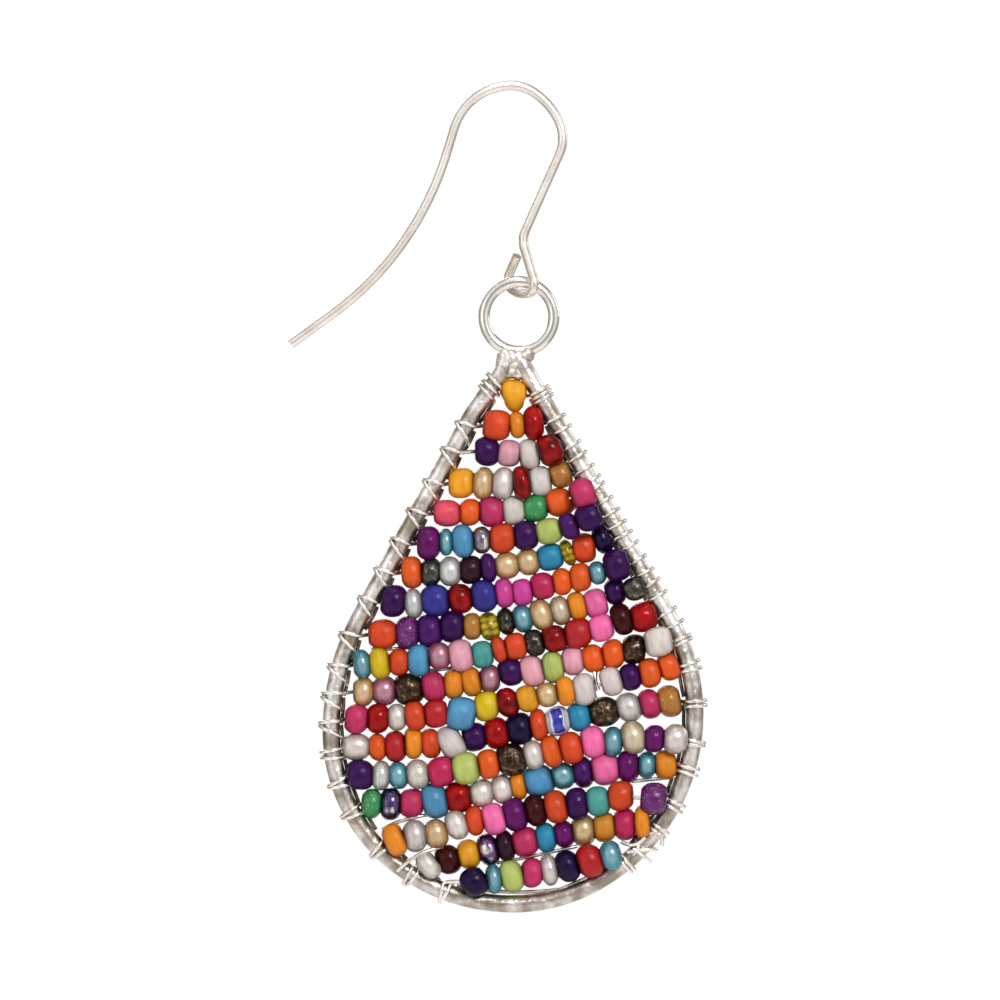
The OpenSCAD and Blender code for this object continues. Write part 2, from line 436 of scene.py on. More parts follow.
class BeadGlass:
    """The nodes that every glass starts with: a bead's colour, its own number from 0 to 1, its
    own axes with the hole along X, and how near a spot is to its rim or to its outline."""

    def __init__(self, name):
        self.material, self.add, self.place = new_material(name)
        glass = self.add("Attribute", attribute_name="glass")
        self.colour = glass.outputs["Color"]
        self.own = glass.outputs["Alpha"]
        self.turned = self.add("Attribute", attribute_name="turned").outputs["Vector"]
        along = self.add("SeparateXYZ", {"Vector": self.turned}).outputs["X"]
        self.along = self.add("Math", {0: along}, operation="ABSOLUTE")
        self.facing = self.add("LayerWeight", {"Blend": 0.3}).outputs["Facing"]

    def tinted(self, colour, tint, pattern, weak, strong, blend="MIX"):
        """The colour with a tint over it that follows a pattern: weak and strong each give a
        value of the pattern and how much of the tint shows there."""
        amount = self.add(
            "MapRange",
            {
                "Value": pattern,
                "From Min": weak[0],
                "From Max": strong[0],
                "To Min": weak[1],
                "To Max": strong[1],
            },
        )
        return self.add("Mix", {"Factor": amount, "A": colour, "B": tint}, blend_type=blend)

    def deepened_and_shaded(self, colour, rim, outline):
        """The colour, deeper at the rims and toward the outline: partly where more glass is seen
        through, and partly painted shade where the next bead shades it. rim and outline say how
        far, from 0 to 1."""
        at_rim = self.add(
            "MapRange", {"Value": self.along, "From Min": 0.7, "From Max": 1.0, "To Max": rim}
        )
        at_outline = self.add(
            "MapRange", {"Value": self.facing, "From Min": 0.2, "From Max": 0.9, "To Max": outline}
        )
        depth = self.add("Math", {0: at_rim, 1: at_outline}, operation="MAXIMUM")
        fuller = self.add(
            "Mix", {"Factor": 1.0, "A": colour, "B": self.colour}, blend_type="MULTIPLY"
        )
        # Painted shade: the colour made fuller by itself and darker
        deep = self.add("Mix", {"Factor": 1.0, "A": fuller, "B": "94827C"}, blend_type="MULTIPLY")
        return self.add("Mix", {"Factor": depth, "A": colour, "B": deep})

    def patches(self, size, detail=2.0, drawn=1.0):
        """Noise that follows the bead's own axes and differs from bead to bead: size is that
        of a patch, in bead radii, and drawn says how many times longer it is round the hole."""
        number = self.add("Math", {0: self.own, 1: APART}, operation="MULTIPLY")
        streaked = self.add("Mapping", {"Vector": self.turned, "Scale": (drawn, 1.0, 1.0)})
        return self.add(
            "TexNoise",
            {"Vector": streaked, "W": number, "Scale": 1 / size, "Detail": detail},
            noise_dimensions="4D",
        )

    def close(self, colour, gloss):
        """Ends the glass with its colour and the other inputs of its shader."""
        return close_material(self.material, {"Base Color": colour, **gloss})


def opaque_glass(name="opaque_drawn_glass", haze=0.28, shine=0.3):
    """Opaque glass, drawn as a cane, cut and tumbled hot: a full, deep colour with a soft gloss,
    paler streaks and shallow pits."""
    bead = BeadGlass(name)
    duller = bead.add(
        "Mix", {"Factor": 1.0, "A": bead.colour, "B": "E2DEDC"}, blend_type="MULTIPLY"
    )
    streaks = bead.patches(1.0, 3.0, 2.5)
    streaked = bead.tinted(duller, bead.colour, streaks, (0.3, 0.0), (0.7, 1.0))
    gloss = bead.add("MapRange", {"Value": bead.own, "To Min": haze, "To Max": haze + 0.16})
    pits = bead.add(
        "TexNoise", {"Vector": bead.place, "Scale": 1 / PIT, "Detail": 3.0, "Roughness": 0.6}
    )
    pitted = bead.add("Bump", {"Height": pits, "Distance": 0.035 * MM})
    return bead.close(
        bead.deepened_and_shaded(streaked, 0.9, 0.85),
        {
            "Roughness": gloss,
            "Specular IOR Level": shine,
            "Subsurface Weight": 0.2,
            "Subsurface Scale": 0.5 * MM,
            "Normal": pitted,
        },
    )


def deep_glass():
    """The same glass in its darkest colours: nearly black at the rims, with small sharp glints
    and little haze over the colour."""
    return opaque_glass("deep_drawn_glass", haze=0.12, shine=0.16)


def pearl_glass():
    """Glass with a pearl lustre fired on: milky, with a painted highlight as a bright bloom where
    it faces out, silky streaks round it and greyer rims that are partly painted shade."""
    bead = BeadGlass("pearl_lustre_glass")
    greyer = bead.add(
        "Mix", {"Factor": 1.0, "A": bead.colour, "B": "D6D0CA"}, blend_type="MULTIPLY"
    )
    silk = bead.patches(0.9, 4.0, 3.5)
    silky = bead.tinted(greyer, bead.colour, silk, (0.35, 0.0), (0.68, 1.0))
    # Painted highlight: a paler bloom where the bead faces out
    paler = bead.add("Mix", {"Factor": 1.0, "A": bead.colour, "B": "8C8884"}, blend_type="SCREEN")
    milky = bead.tinted(silky, paler, bead.facing, (0.0, 0.6), (0.14, 0.0))
    gloss = bead.add("MapRange", {"Value": bead.own, "To Min": 0.26, "To Max": 0.38})
    pits = bead.add("TexNoise", {"Vector": bead.place, "Scale": 1 / PIT, "Detail": 3.0})
    pitted = bead.add("Bump", {"Height": pits, "Distance": 0.02 * MM})
    return bead.close(
        bead.deepened_and_shaded(milky, 0.6, 0.66),
        {
            "Metallic": 0.4,
            "Roughness": gloss,
            "Specular IOR Level": 0.5,
            "Coat Weight": 0.2,
            "Coat Roughness": 0.12,
            "Normal": pitted,
        },
    )


def clear_glass():
    """Clear red glass: deep at the rims, and lit up in patches inside where the light comes
    through, under a wet gloss."""
    bead = BeadGlass("clear_drawn_glass")
    lights = bead.patches(0.8, 1.0)
    lit = bead.tinted(bead.colour, "A80E0C", lights, (0.42, 0.0), (0.62, 0.55), "SCREEN")
    gloss = bead.add("MapRange", {"Value": bead.own, "To Min": 0.1, "To Max": 0.2})
    return bead.close(
        bead.deepened_and_shaded(lit, 0.9, 0.9),
        {
            "Roughness": gloss,
            "Specular IOR Level": 0.12,
            "Transmission Weight": 0.1,
            "Coat Weight": 0.02,
            "Coat Roughness": 0.06,
        },
    )


def flecked_glass():
    """Glass with bright metal dust melted into it: small glittering flecks in the colour."""
    bead = BeadGlass("flecked_glass")
    cells = bead.add("TexVoronoi", {"Vector": bead.place, "Scale": 1 / FLECK})
    flecks = bead.add(
        "MapRange",
        {"Value": cells.outputs["Color"], "From Min": 0.74, "From Max": 1.0, "To Max": 0.34},
    )
    lit = bead.add("Mix", {"Factor": flecks, "A": bead.colour, "B": "E8CFB0"}, blend_type="SCREEN")
    grain = bead.add("Bump", {"Height": cells.outputs["Distance"], "Distance": 0.025 * MM})
    return bead.close(
        bead.deepened_and_shaded(lit, 0.8, 0.8),
        {
            "Metallic": flecks,
            "Roughness": 0.24,
            "Specular IOR Level": 0.35,
            "Coat Weight": 0.2,
            "Coat Roughness": 0.08,
            "Normal": grain,
        },
    )


def metallic_glass():
    """Dark glass with a fired metal coat: nearly black, crumpled, with broken warm glints, partly
    painted paler on the crumples.
    """
    bead = BeadGlass("metal_coated_glass")
    mottle = bead.add(
        "TexNoise",
        {"Vector": bead.place, "Scale": 1 / CRUMPLE, "Detail": 3.0, "Roughness": 0.6},
    )
    # Painted glints: a paler warm coat where the crumples rise
    lit = bead.tinted(bead.colour, "AEA592", mottle, (0.5, 0.0), (0.74, 0.54), "SCREEN")
    crumpled = bead.add("Bump", {"Height": mottle, "Distance": 0.075 * MM})
    return bead.close(
        bead.deepened_and_shaded(lit, 0.9, 0.9), {"Metallic": 0.85, "Roughness": 0.24, "Normal": crumpled}
    )


def lined_glass():
    """Clear yellow glass over a wrinkled foil lining: bright yellow, with the dark folds of the
    foil as lines along the hole."""
    bead = BeadGlass("foil_lined_glass")
    foil = bead.tinted(bead.colour, "D8CC2A", bead.along, (0.15, 0.0), (0.75, 0.9))
    level = bead.add("SeparateXYZ", {"Vector": bead.turned}).outputs["Z"]
    wrinkles = bead.patches(0.35, 1.0)
    bent = bead.add("Math", {0: wrinkles, 1: 0.35, 2: level}, operation="MULTIPLY_ADD")
    folds = bead.add("Math", {0: bent, 1: 0.24}, operation="PINGPONG")
    folded = bead.tinted(foil, "4A3208", folds, (0.05, 0.68), (0.15, 0.0))
    return bead.close(
        bead.deepened_and_shaded(folded, 0.6, 0.8),
        {"Metallic": 0.4, "Roughness": 0.3, "Coat Weight": 0.15, "Coat Roughness": 0.06},
    )


def cored_glass():
    """Crystal glass over a cobalt core: the core shows as a blue block whose pale edges are
    painted highlights, inside clear walls that catch the light."""
    bead = BeadGlass("cobalt_cored_crystal")
    wall = bead.add("MapRange", {"Value": bead.facing, "From Min": 0.0, "From Max": 0.62})
    reach = bead.add("Math", {0: wall, 1: bead.along}, operation="MAXIMUM")
    bars = bead.add("MapRange", {"Value": bead.patches(0.45, 0.0), "To Min": -0.12, "To Max": 0.12})
    bent = bead.add("Math", {0: reach, 1: bars})
    # The core, the painted highlight at its edge and the clear wall, from the middle outward
    stops = (
        (0.0, "2A34B4"),
        (0.2, "1A1E86"),
        (0.42, "2A34B4"),
        (0.5, "D8DCEA"),
        (0.62, "8A8CA8"),
        (0.85, "D6D2CE"),
    )
    layers = bead.add("ValToRGB", {"Fac": bent}, stops=stops)
    return bead.close(layers, {"Roughness": 0.1, "Coat Weight": 0.6, "Coat Roughness": 0.04})


def iris_glass():
    """Dark glass with a rainbow coat of metal oxides: deep blue or violet round the outline,
    sliding to a painted lilac sheen and painted silver glints where it faces out."""
    bead = BeadGlass("rainbow_coated_glass")
    patches = bead.patches(0.9, 1.0)
    # Painted sheen: lilac where the bead faces out, with painted silver glints in patches there
    facing_out = bead.add(
        "MapRange",
        {"Value": bead.facing, "From Min": 0.02, "From Max": 0.26, "To Min": 0.36, "To Max": 0.0},
    )
    lilac = bead.add("Mix", {"Factor": facing_out, "A": bead.colour, "B": "8478A6"})
    bright = bead.add(
        "MapRange", {"Value": patches, "From Min": 0.53, "From Max": 0.6, "To Max": 2.4}
    )
    painted_glint_amount = bead.add("Math", {0: bright, 1: facing_out}, operation="MULTIPLY")
    with_painted_glints = bead.add("Mix", {"Factor": painted_glint_amount, "A": lilac, "B": "F2EEDC"})
    return bead.close(
        bead.deepened_and_shaded(with_painted_glints, 0.8, 0.9),
        {
            "Metallic": 0.75,
            "Roughness": 0.16,
            "Coat Weight": 0.3,
            "Coat Roughness": 0.05,
            "Thin Film Thickness": 340.0,
            "Thin Film IOR": 1.6,
        },
    )


# Each glass, in the order of a row's material slots
GLASSES = {
    "opaque": opaque_glass,
    "deep": deep_glass,
    "pearl": pearl_glass,
    "clear": clear_glass,
    "flecked": flecked_glass,
    "metallic": metallic_glass,
    "lined": lined_glass,
    "cored": cored_glass,
    "iris": iris_glass,
}


# A slice of cane as the mould begins: its radius, its length and its sides
CANE_RADIUS = 1.1 * MM
CANE_LENGTH = 1.75 * MM
CANE_SIDES = 10
# A pinched bead narrows again below each of these depths, in radii under its middle
PINCHES = (0.05, 0.35, 0.65)
# Nearer than this, two places are the same
SAME = 0.001 * MM
# Each shape of bead: its rim in parts of the usual one, its bulge and its pinch
MOULDS = {
    "cut": (0.62, 1.07, 1.0),
    "tumbled": (0.74, 1.04, 1.0),
    "barrel": (0.6, 1.15, 1.0),
    "pinched": (0.62, 1.06, 0.82),
}


def bead_mould(name, sizes, rim, bulge, pinch):
    """One bead of length and diameter 1 mm by 1 mm, along X: a slice of cane whose middle
    bulges, whose ends are inset and bridged for the hole and whose rims are rounded. Under a
    pinch its lower half narrows. It has 70 faces, because it is repeated some 200 times, and
    one subdivision rounds them."""
    bpy.ops.mesh.primitive_cylinder_add(
        vertices=CANE_SIDES,
        radius=CANE_RADIUS,
        depth=CANE_LENGTH,
        end_fill_type="NGON",
        rotation=(0, math.pi / 2, 0),
    )
    bead = just_added(name)
    bpy.ops.object.transform_apply(location=True, rotation=True, scale=True)
    bpy.ops.object.mode_set(mode="EDIT")
    bpy.ops.mesh.select_all(action="SELECT")
    bpy.ops.mesh.bisect(plane_co=(0, 0, 0), plane_no=(1, 0, 0))
    select_parts(bead, "vertices", lambda vert: abs(vert.co.x) < SAME)
    bpy.ops.transform.resize(value=(1, bulge, bulge))

    def at_an_end(edge):
        ends = [abs(bead.data.vertices[i].co.x) for i in edge.vertices]
        return all(abs(end - CANE_LENGTH / 2) < SAME for end in ends)

    select_parts(bead, "edges", at_an_end)
    bpy.ops.mesh.bevel(offset=rim, segments=1, affect="EDGES")
    select_parts(bead, "polygons", lambda face: abs(face.normal.x) > 0.99)
    bpy.ops.mesh.inset(thickness=CANE_RADIUS - rim - sizes.hole / 2)
    bpy.ops.mesh.bridge_edge_loops()
    if pinch != 1.0:
        for depth in PINCHES:
            select_parts(bead, "vertices", lambda vert: vert.co.z < -depth * CANE_RADIUS)
            bpy.ops.transform.resize(value=(pinch, pinch, 1))
    bpy.ops.mesh.select_all(action="SELECT")
    bpy.ops.mesh.remove_doubles(threshold=SAME)
    bpy.ops.mesh.normals_make_consistent(inside=False)
    bpy.ops.object.mode_set(mode="OBJECT")
    apply_modifier(bead, "SUBSURF", levels=1, render_levels=1)
    bpy.ops.object.shade_smooth()
    mesh = bead.data
    size = [2 * max(abs(vert.co[axis]) for vert in mesh.vertices) for axis in range(3)]
    mesh.transform(Matrix.Diagonal((MM / size[0], MM / size[1], MM / size[2], 1)))
    mesh.color_attributes.new("glass", "FLOAT_COLOR", "CORNER")
    turned = mesh.attributes.new("turned", "FLOAT_VECTOR", "POINT")
    for spot, vert in zip(turned.data, mesh.vertices):
        spot.vector = vert.co / (0.5 * MM)
    return bead


def row_height(heights, u):
    """Height of a row at u, from 0 at its left end to 1 at its right end: the cubic through
    the four heights of its route."""
    t = 3 * u
    return (
        heights[0] * (1 - t) * (2 - t) * (3 - t) / 6
        + heights[1] * t * (2 - t) * (3 - t) / 2
        + heights[2] * t * (t - 1) * (3 - t) / 2
        + heights[3] * t * (t - 1) * (t - 2) / 6
    )


# Steps into which a row's route is divided
ROUTE_STEPS = 120


def route_points(route):
    """Points of a row's route from left to right, and how far along the row each one is."""
    left, right, heights = route
    points, runs = [], [0.0]
    for i in range(ROUTE_STEPS + 1):
        u = i / ROUTE_STEPS
        points.append(millimetres(left + (right - left) * u, row_height(heights, u)))
    for a, b in zip(points, points[1:]):
        runs.append(runs[-1] + (b - a).length)
    return points, runs


def along_route(points, runs, run):
    """The point of a route that lies so far along it."""
    i = min(max(1, sum(r < run for r in runs)), len(runs) - 1)
    part = (run - runs[i - 1]) / (runs[i] - runs[i - 1])
    return points[i - 1].lerp(points[i], part)


def read_row(line):
    """The beads of one line of the chart as (kind, width, height, lean, rise); a gap is of kind
    gap."""
    beads = []
    for word in line.split(", "):
        kind, size = word.split()
        size, _, rise = size.partition("^")
        size, _, lean = size.partition("/")
        width, _, height = size.partition("x")
        tenths = [int(part or 0) * MM / 10 for part in (width, height, rise)]
        beads.append((kind, tenths[0], tenths[1], int(lean or 0), tenths[2]))
    return beads


@dataclass
class StrungBead:
    """A bead where it sits in its row: its kind, its middle, how steeply the row rises there,
    its width and height, and its own lean in degrees"""

    kind: str
    middle: Vector
    slope: float
    width: float
    height: float
    lean: float


# The most that a bead turns with the slope of its row, as an angle in radians
MOST_SLOPE = 0.35


def lay_row(index):
    """The beads of a row along its route, stretched or crowded a little so that they fill it."""
    points, runs = route_points(ROUTES[index])
    beads = read_row(CHART[index])
    stretch = runs[-1] / sum(bead[1] for bead in beads)
    laid, run = [], 0.0
    for kind, width, height, lean, rise in beads:
        width *= stretch
        middle = along_route(points, runs, run + width / 2)
        ahead = along_route(points, runs, run + width) - along_route(points, runs, run)
        run += width
        if kind == "gap":
            continue
        slope = max(-MOST_SLOPE, min(MOST_SLOPE, math.atan2(ahead.z, ahead.x)))
        middle.z += rise
        laid.append(StrungBead(kind, middle, slope, width, height, lean))
    return laid


# How a row settles: its first shift out of the plane, each further step, and the gap that a
# bead keeps from the teardrop's wire
FIRST_SHIFT = 0.1 * MM
STEP = 0.04 * MM
GAP = 0.06 * MM
MOST_STEPS = 40
# Beads of two rows touch when they are nearer than this part of their heights together
TOUCHING = 0.49
# The thread draws a bead to this part of its neighbours' shift, in so many rounds
DRAWN_ALONG = 0.9
ROUNDS = 3


def settle(laid, way, wire, above):
    """Moves the beads of a row to the back (1) or front (-1) of the teardrop's plane until each
    is clear of the wire and of the row above, and eases its neighbours along."""
    for bead in laid:
        reach = min(bead.width, bead.height) / 2
        bead.middle.y += way * FIRST_SHIFT
        for _ in range(MOST_STEPS):
            near = wire.find_nearest(bead.middle)[3] < reach + GAP
            touch = any(
                (bead.middle - other.middle).length < TOUCHING * (bead.height + other.height)
                for other in above
            )
            if not near and not touch:
                break
            bead.middle.y += STEP * (-1 if near else way)
    depths = [bead.middle.y - DROP_Y for bead in laid]
    for _ in range(ROUNDS):
        for i in range(1, len(laid) - 1):
            eased = 0.5 * (depths[i - 1] + depths[i + 1]) * DRAWN_ALONG
            if abs(eased) > abs(depths[i]) and eased * depths[i] > 0:
                depths[i] = eased
    for bead, depth in zip(laid, depths):
        bead.middle.y = DROP_Y + depth


# A bead is a little larger than the chart says, whose sizes are read between soft edges: along
# the thread, from front to back, and upward
GROWN = (1.05, 1.05, 1.11)
# How much beads of a kind differ: in degrees their lean and their turn about the upright, then
# how far from square their cane was cut, and how light they are, all over and in each colour
LEANS = 3
TURNS = 5
OUT_OF_SQUARE = 0.1
LIGHTER = (0.9, 1.06)
TINGED = (0.97, 1.03)
# Where the row's own draws of chance begin
ROW_SEED = 200


def string_row(name, laid, moulds, colours, materials, chance):
    """The row's beads as one mesh: a copy of a mould for each bead, in its size, lean and
    colour."""
    beads = []
    for strung in laid:
        kind = strung.kind
        glass = BEADS[kind][0]
        shape = chance.choice(("cut", "cut", "tumbled", "barrel"))
        if glass == "pearl":
            shape = "tumbled"
        if kind == "amber_drop":
            shape = "pinched"
        bead = moulds[shape].copy()
        mesh = bead.data = moulds[shape].data.copy()
        bpy.context.collection.objects.link(bead)
        turn = math.radians(strung.lean + chance.uniform(-LEANS, LEANS)) - strung.slope
        spin = chance.uniform(0, math.tau)
        if kind == "amber_drop" or glass in ("lined", "cored"):
            spin = 0.0
        slant = Matrix.Identity(4)
        slant[0][2] = chance.uniform(-OUT_OF_SQUARE, OUT_OF_SQUARE)
        sides = (strung.width, strung.height, strung.height)
        size = [side * grown / MM for side, grown in zip(sides, GROWN)]
        mesh.transform(
            Matrix.Translation(strung.middle)
            @ Matrix.Rotation(turn, 4, "Y")
            @ Matrix.Rotation(math.radians(chance.uniform(-TURNS, TURNS)), 4, "Z")
            @ Matrix.Diagonal((*size, 1))
            @ slant
            @ Matrix.Rotation(spin, 4, "X")
        )
        level = chance.uniform(*LIGHTER)
        shade = [level * part * chance.uniform(*TINGED) for part in getattr(colours, kind)]
        glass_of_all = (*shade, chance.random()) * len(mesh.loops)
        mesh.color_attributes["glass"].data.foreach_set("color", glass_of_all)
        for material in materials.values():
            mesh.materials.append(material)
        slot = list(materials).index(glass)
        mesh.polygons.foreach_set("material_index", [slot] * len(mesh.polygons))
        beads.append(bead)
    select(beads)
    if len(beads) > 1:
        bpy.ops.object.join()
    row = just_added(name)
    bpy.ops.object.material_slot_remove_unused()
    return row


# A place along X that is between the teardrop's legs at every height of a row
BETWEEN_LEGS = 0.2 * MM
# How far inside the teardrop's wire a turn of binding wire starts, in millimetres
INSIDE = 0.3


def beside_wire(wire, height, side):
    """A spot just inside the teardrop's wire at a height, on its left (-1) or right (1)."""
    between = Vector((BETWEEN_LEGS, DROP_Y, height))
    spot, normal, _, _ = wire.ray_cast(between, side * ACROSS)
    if spot is None:
        raise RuntimeError("no wire beside a row")
    return spot + normal * INSIDE * MM


def across_wire(wire, inside):
    """Where the teardrop's wire passes a spot inside it: the middle of the wire, the way out
    across it, and the way along it that rises."""
    inside = Vector((inside.x, DROP_Y, inside.z))
    surface = wire.find_nearest(inside)[0]
    out = surface - inside
    out.y = 0
    out.normalize()
    along = Vector((-out.z, 0, out.x))
    if along.z < 0:
        along.negate()
    return surface + out * WIRE_RADIUS, out, along


# A turn of binding wire has a point at each 30 degrees round the teardrop's wire, counted from
# its inner side over the front. It begins on the front where it comes from a row, and else
# behind, and it ends behind.
TURN_POINTS = 30
FROM_ROW = 30
FROM_BEHIND = -15
TURN_END = 300
# A stiff wire bends a little wide of what it is wound on
WIDE = 1.05


def wire_turn(wire, start, sizes, shift, lift, first):
    """One turn of binding wire over the front of the teardrop's wire, round its outer side and
    back behind it. It begins at the angle first, by shift above the start, and climbs by lift
    on its way to the outer side."""
    along = across_wire(wire, start)[2]
    middle, out, along = across_wire(wire, start + along * shift)
    near = WIRE_RADIUS + sizes.strand / 2
    points = []
    for angle in range(first, TURN_END + 1, TURN_POINTS):
        turn = math.radians(angle)
        reach = near * WIDE + sizes.stand_off * max(0.0, -math.cos(turn))
        points.append(
            middle
            - out * reach * math.cos(turn)
            + FRONT * reach * math.sin(turn)
            + along * lift * min(angle, 180) / 180
        )
    return points


# A run between two rows' turns: its steps, how far it bows off the wire midway, in diameters of
# binding wire, and where round the wire it lies, as shares of the way in and of the way back
RUN_STEPS = 4
RUN_BOW = 0.3
RUN_IN = 0.93
RUN_BACK = 0.36


def wire_run(wire, start, sizes, high, low):
    """The run of binding wire that goes down the inner side of the teardrop's wire, behind it,
    from one row's turns to the next row's."""
    along = across_wire(wire, start)[2]
    points = []
    for step in range(RUN_STEPS + 1):
        place = start + along * (high + (low - high) * step / RUN_STEPS)
        middle, out, _ = across_wire(wire, place)
        bow = RUN_BOW * math.sin(math.pi * step / RUN_STEPS)
        reach = WIRE_RADIUS + sizes.strand * (0.5 + bow)
        points.append(middle - (out * RUN_IN + FRONT * RUN_BACK) * reach)
    return points


def strand_piece(name, paths, diameter, material):
    """Fine wires as one mesh: each path is a smooth curve with a round section."""
    bpy.ops.curve.primitive_nurbs_path_add()
    piece = just_added(name)
    curve = piece.data
    curve.splines.clear()
    for path in paths:
        spline = curve.splines.new("NURBS")
        spline.points.add(len(path) - 1)
        for point, place in zip(spline.points, path):
            point.co = (*place, 1)
        spline.order_u = min(4, len(path))
        spline.use_endpoint_u = True
        spline.resolution_u = 4
    curve.bevel_depth = diameter / 2
    curve.bevel_resolution = 2
    curve.use_fill_caps = True
    bpy.ops.object.convert(target="MESH")
    piece.data.materials.clear()
    piece.data.materials.append(material)
    bpy.ops.object.shade_smooth()
    return piece


def wire_tree():
    """The teardrop's surface, to measure from."""
    return BVHTree.FromObject(NODES["drop_frame"], bpy.context.evaluated_depsgraph_get())


def laid_rows():
    """All rows of beads, laid and settled by turns to the back and to the front, from the top
    down."""
    wire = wire_tree()
    rows, above = [], []
    for index in range(len(CHART)):
        laid = lay_row(index)
        settle(laid, -1 if index % 2 else 1, wire, above)
        rows.append(laid)
        above = laid
    return rows


# Extra strands, in millimetres as (x, z, y) from one point to the next: the return runs between
# the rows, a twist in the gap of the twelfth row, and the bundle at the lower right
LOOSE_STRANDS = (
    ((-10.9, -62.4, 0.2), (-9.4, -61.6, 0.0), (-7.6, -61.2, 0.1), (-6.6, -61.2, 0.6)),
    ((-9.6, -65.9, -0.8), (-8.4, -64.6, -0.9), (-7.0, -64.0, -0.9), (-5.8, -63.9, -0.2)),
    ((-4.6, -67.2, 0.4), (-2.6, -67.7, 0.4), (0.8, -67.95, 0.5), (4.1, -67.5, 0.4)),
    ((4.1, -67.5, 0.4), (7.4, -66.1, 0.5), (9.4, -65.0, 0.2), (10.2, -64.4, 0.0)),
    ((-1.2, -65.3, 0.6), (1.6, -64.8, 0.4), (4.0, -64.2, 0.4), (5.6, -63.9, 0.6)),
    ((10.2, -58.4, 0.4), (12.0, -58.2, 0.2), (13.9, -58.0, 0.3)),
    ((-11.8, -47.2, 0.7), (-10.4, -47.3, 0.6), (-9.2, -47.1, 0.8)),
    ((-7.0, -49.0, 0.7), (-5.8, -49.0, 0.6), (-4.8, -48.7, 0.8)),
    ((2.6, -35.6, 1.0), (4.6, -35.7, 0.9), (6.2, -35.0, 1.0)),
    ((6.7, -48.6, 0.3), (7.3, -49.1, -0.2), (6.9, -49.9, -0.3), (7.4, -50.6, 0.0)),
    ((7.4, -48.7, 0.1), (6.9, -49.3, 0.4), (7.3, -50.0, 0.3), (7.0, -50.9, 0.0)),
    ((7.0, -50.9, 0.0), (7.3, -51.6, -0.2), (7.2, -52.6, 0.2)),
    ((9.3, -63.4, -0.3), (10.0, -63.9, -0.6), (10.7, -63.7, -0.7), (11.3, -63.0, -0.8)),
    ((9.8, -64.3, -0.5), (10.9, -64.1, -0.8), (11.9, -64.0, -0.7), (12.3, -64.1, -0.1)),
    ((10.3, -64.0, -0.6), (11.1, -64.6, -0.8), (11.8, -65.1, -0.5)),
    ((11.6, -62.7, -0.4), (12.4, -62.4, -0.8), (12.9, -62.9, -0.7), (12.7, -63.7, -0.6)),
    ((10.6, -63.2, 0.1), (11.0, -63.6, -0.7), (10.6, -64.2, -0.9), (10.2, -64.6, -0.3)),
)


# Lumps of solder in the crotch of the legs, in millimetres: (x, z, y, radius). They fill the
# crotch, run crosswise under the ring, and shoulder the right leg.
SOLDER_LUMPS = (
    (0.3, -22.6, 0.2, 0.72),
    (0.2, -23.2, 0.2, 0.68),
    (0.1, -23.8, 0.2, 0.56),
    (-0.3, -24.0, 0.2, 0.45),
    (0.6, -24.1, 0.2, 0.45),
    (-0.55, -22.2, -0.12, 0.44),
    (-0.3, -22.5, -0.15, 0.42),
    (0.0, -22.85, -0.15, 0.4),
    (0.3, -23.2, -0.15, 0.4),
    (1.4, -22.2, 0.0, 0.5),
    (1.05, -22.45, -0.1, 0.46),
    (0.7, -22.8, -0.15, 0.42),
    (0.05, -23.8, -0.1, 0.38),
    (1.5, -22.45, 0.2, 0.5),
    (1.75, -22.0, 0.2, 0.42),
)


def run_solder(material):
    """Solder in the crotch of the legs: lumps that are merged and smoothed into one flow."""
    lumps = []
    for x, z, y, radius in SOLDER_LUMPS:
        bpy.ops.mesh.primitive_uv_sphere_add(
            segments=16, ring_count=10, radius=radius * MM, location=millimetres(x, z, y)
        )
        lumps.append(just_added("lump"))
    select(lumps[::-1])
    bpy.ops.object.join()
    solder = just_added("solder_joint")
    bpy.ops.object.transform_apply(location=True, rotation=True, scale=True)
    apply_modifier(solder, "REMESH", mode="VOXEL", voxel_size=0.07 * MM)
    apply_modifier(solder, "SMOOTH", factor=0.5, iterations=16)
    bpy.ops.object.shade_smooth()
    solder.data.materials.clear()
    solder.data.materials.append(material)
    return solder


class EARRING_OT_silver_wires(bpy.types.Operator):
    """Finishes the ear wire, the ring and the teardrop, and runs the solder into the joint"""

    bl_idname = "earring.silver_wires"
    bl_label = "Silver Wires"

    def execute(self, context):
        # Silver ear wire, drawn and polished: bright and warm, with a soft haze from handling
        hook = silver("polished_silver_ear_wire", "FFFBF5", "F0E6DB", 0.32, (1.6, 0.006))
        # Silver frame wire, drawn, bent by hand and tumbled: satin, with shallow dents; darker
        # toward the foot, with painted shade on the side that faces the beads
        worked = silver(
            "tumbled_silver_wire",
            "FAF7F3",
            "AA9F93",
            0.36,
            dent=(0.9, 0.14),
            drawn_above=-21.9,
            foot_and_shade_tint="8C8174",
        )
        # Silver solder, flowed and left unfiled: brighter and lumpy, with painted shade on the side
        # that faces the beads
        flowed = silver(
            "flowed_silver_solder",
            "F8F5F0",
            "D8CFC4",
            0.4,
            dent=(0.7, 0.03),
            drawn_above=-20.0,
            foot_and_shade_tint="5C5046",
        )
        for node, material in (("ear_hook", hook), ("drop_frame", worked)):
            slots = NODES[node].data.materials
            for i in range(len(slots)):
                slots[i] = material
        solder = run_solder(flowed)
        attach(solder, "drop")
        return {"FINISHED"}


